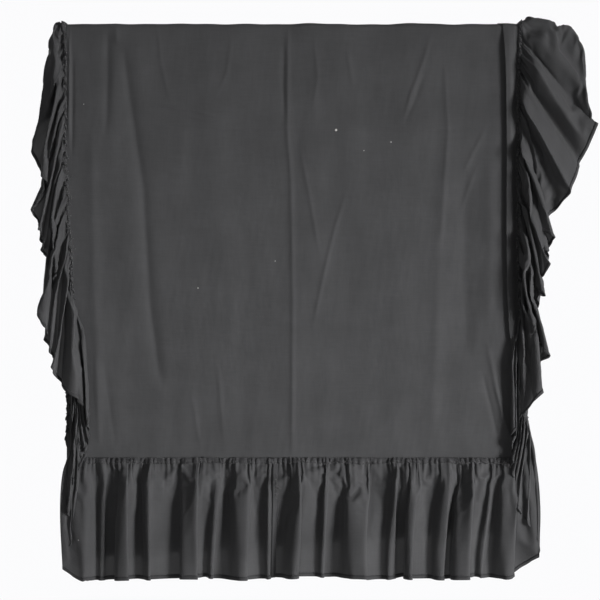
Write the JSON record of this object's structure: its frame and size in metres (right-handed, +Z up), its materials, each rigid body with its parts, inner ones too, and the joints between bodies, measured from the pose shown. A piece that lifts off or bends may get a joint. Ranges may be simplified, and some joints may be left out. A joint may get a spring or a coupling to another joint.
{
  "type": "gathered bed skirt",
  "caption": "Bed skirt of plain cotton, folded over a rail: a flat rectangular deck with a gathered ruffle on both sides and at the foot, and a plain hemmed head end.",
  "frame": {"origin": "on the rail channel's axis, under the fold, half way along the deck's width", "axes": "+X along the rail to the viewer's right, -Y towards the viewer (front half), +Z up; the cloth hangs down"},
  "size_m": [1.1068, 0.113, 1.1197],
  "materials": {
    "deck_cloth": "plain-weave black cotton, wrong side out, matt with soft folds and a packing crease",
    "ruffle_cloth": "the same black cotton, gathered into flutes",
    "hem_cloth": "black cotton turned twice and stitched",
    "seam_allowance": "gathered raw edges of black cotton, puckered",
    "gathering_stitch": "black polyester sewing thread sunk in the seam",
    "overlock_thread": "fuzzy black overlock thread loops over the raw edge"
  },
  "bodies": {
    "rail_fold": {"deck_fold": "deck_cloth", "left_ruffle_crest": "ruffle_cloth", "right_ruffle_crest": "ruffle_cloth", "left_seam_crest": "gathering_stitch", "right_seam_crest": "gathering_stitch"},
    "front_half": {"deck_front": "deck_cloth", "foot_seam": "gathering_stitch", "left_seam_front": "gathering_stitch", "right_seam_front": "gathering_stitch"},
    "back_half": {"deck_back": "deck_cloth", "head_hem": "hem_cloth", "left_seam_back": "gathering_stitch", "right_seam_back": "gathering_stitch"},
    "foot_flounce": {"foot_ruffle_left": "ruffle_cloth", "foot_ruffle_right": "ruffle_cloth", "foot_hem_left": "hem_cloth", "foot_hem_right": "hem_cloth", "foot_allowance": "seam_allowance", "foot_overlock": "overlock_thread", "foot_strip_join": "seam_allowance", "foot_join_fray": "overlock_thread"},
    "left_front_flounce": {"left_ruffle_front": "ruffle_cloth", "left_hem_front": "hem_cloth", "left_allowance_front": "seam_allowance"},
    "left_back_flounce": {"left_ruffle_back": "ruffle_cloth", "left_hem_back": "hem_cloth", "left_allowance_back": "seam_allowance"},
    "right_front_flounce": {"right_ruffle_front": "ruffle_cloth", "right_hem_front": "hem_cloth", "right_allowance_front": "seam_allowance"},
    "right_back_flounce": {"right_ruffle_back": "ruffle_cloth", "right_hem_back": "hem_cloth", "right_allowance_back": "seam_allowance"}
  },
  "joints": [
    {"name": "front_half_swing", "type": "hinge", "parent": "rail_fold", "child": "front_half", "pos_m": [0, -0.0082, 0], "axis": [-1, 0, 0], "range_deg": [0, 90]},
    {"name": "back_half_swing", "type": "hinge", "parent": "rail_fold", "child": "back_half", "pos_m": [0, 0.0082, 0], "axis": [1, 0, 0], "range_deg": [0, 90]},
    {"name": "foot_flounce_swing", "type": "hinge", "parent": "front_half", "child": "foot_flounce", "pos_m": [0, -0.0082, -0.861], "axis": [-1, 0, 0], "range_deg": [0, 90]},
    {"name": "left_front_flounce_swing", "type": "hinge", "parent": "front_half", "child": "left_front_flounce", "pos_m": [-0.454, -0.0082, -0.43], "axis": [0, 0, 1], "range_deg": [0, 60]},
    {"name": "right_front_flounce_swing", "type": "hinge", "parent": "front_half", "child": "right_front_flounce", "pos_m": [0.454, -0.0082, -0.43], "axis": [0, 0, -1], "range_deg": [0, 60]},
    {"name": "left_back_flounce_swing", "type": "hinge", "parent": "back_half", "child": "left_back_flounce", "pos_m": [-0.454, 0.0082, -0.5], "axis": [0, 0, -1], "range_deg": [0, 60]},
    {"name": "right_back_flounce_swing", "type": "hinge", "parent": "back_half", "child": "right_back_flounce", "pos_m": [0.454, 0.0082, -0.5], "axis": [0, 0, 1], "range_deg": [0, 60]}
  ]
}
